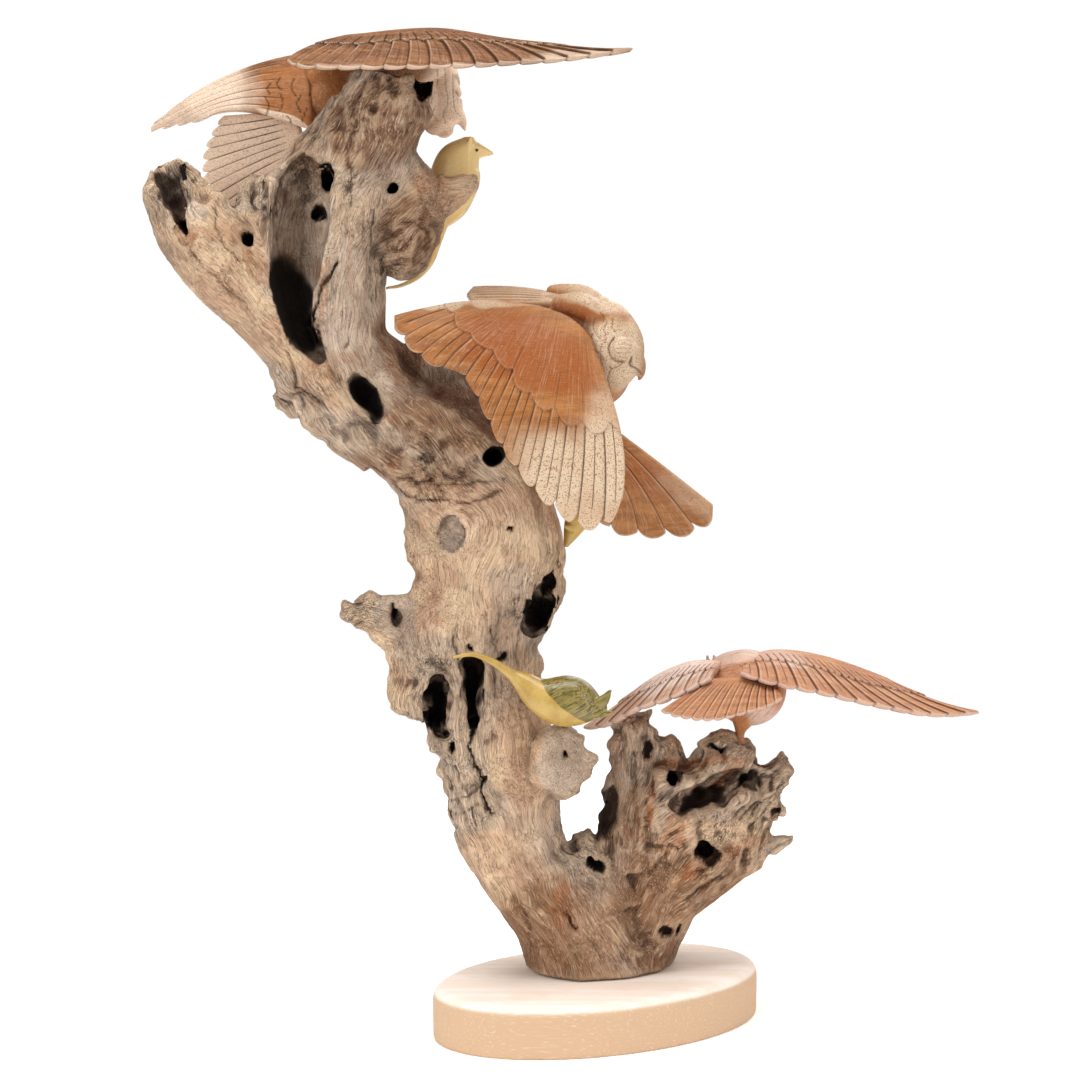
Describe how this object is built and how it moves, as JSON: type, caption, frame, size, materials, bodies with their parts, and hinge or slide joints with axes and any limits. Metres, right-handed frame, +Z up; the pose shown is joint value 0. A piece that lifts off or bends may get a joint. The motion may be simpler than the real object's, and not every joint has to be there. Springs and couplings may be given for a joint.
{
  "type": "owl wood carving",
  "caption": "Weathered root on an oval plinth, with carved owls in flight and mice climbing on it; stands on its flat underside.",
  "frame": {"origin": "middle of the plinth's underside", "axes": "+Z up, +X to the carving's right as the viewer sees it, +Y to its back"},
  "size_m": [0.837, 0.2702, 1.0085],
  "materials": {
    "plinth_wood": "bare pale wood, sanded, faint grain",
    "weathered_root": "weathered grey-brown root, dry and open-grained, black in the hollows",
    "owl_wood": "honey-brown carved wood, smooth with a soft sheen",
    "mouse_wood": "yellow wood with an olive back, polished"
  },
  "bodies": {
    "root": {"plinth": "plinth_wood", "driftwood_root": "weathered_root", "owl_top": "owl_wood", "owl_middle": "owl_wood", "owl_bottom": "owl_wood", "mouse_top": "mouse_wood", "mouse_middle": "mouse_wood", "mouse_bottom": "mouse_wood"}
  },
  "joints": []
}
